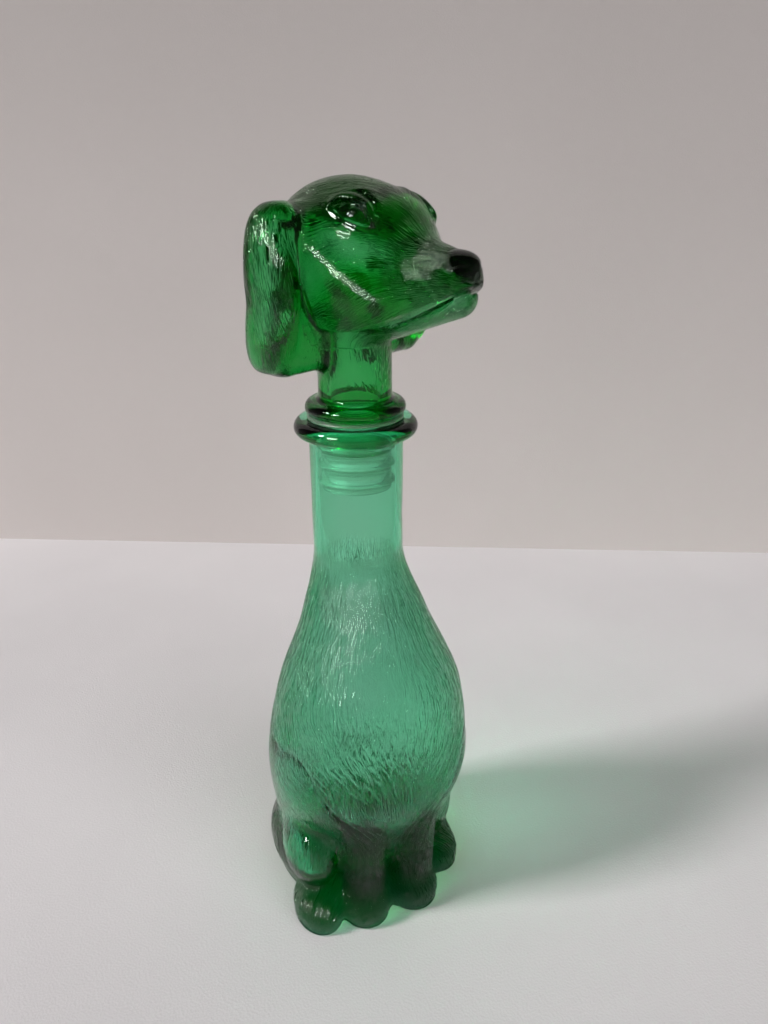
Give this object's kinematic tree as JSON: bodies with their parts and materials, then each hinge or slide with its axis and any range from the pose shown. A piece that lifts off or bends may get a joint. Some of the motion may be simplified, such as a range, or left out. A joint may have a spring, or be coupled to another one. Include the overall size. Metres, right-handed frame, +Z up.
{
  "type": "figural glass bottle",
  "caption": "Sitting-dog glass decanter: hollow fur-engraved bottle, hollow dog's head as the stopper, and a ribbed plastic sleeve that seals the plug in the neck.",
  "frame": {"origin": "centre of the flat base, on the axis of the neck", "axes": "+Z up along the neck, -Y the way the dog's chest faces, +X to the dog's left"},
  "size_m": [0.0976, 0.0993, 0.3323],
  "materials": {
    "body_glass": "clear teal-green blown glass with engraved fur",
    "head_glass": "clear deep green blown glass",
    "sleeve_plastic": "pale translucent moulded plastic"
  },
  "bodies": {
    "bottle": {"bottle_body": "body_glass"},
    "sleeve": {"stopper_sleeve": "sleeve_plastic"},
    "stopper": {"head_stopper": "head_glass"}
  },
  "joints": [
    {"name": "stopper_lift", "type": "slide", "parent": "bottle", "child": "sleeve", "axis": [0, 0, 1], "range_m": [0, 0.1]},
    {"name": "stopper_turn", "type": "hinge", "parent": "sleeve", "child": "stopper", "pos_m": [0, 0, 0.24], "axis": [0, 0, 1], "continuous": true}
  ]
}
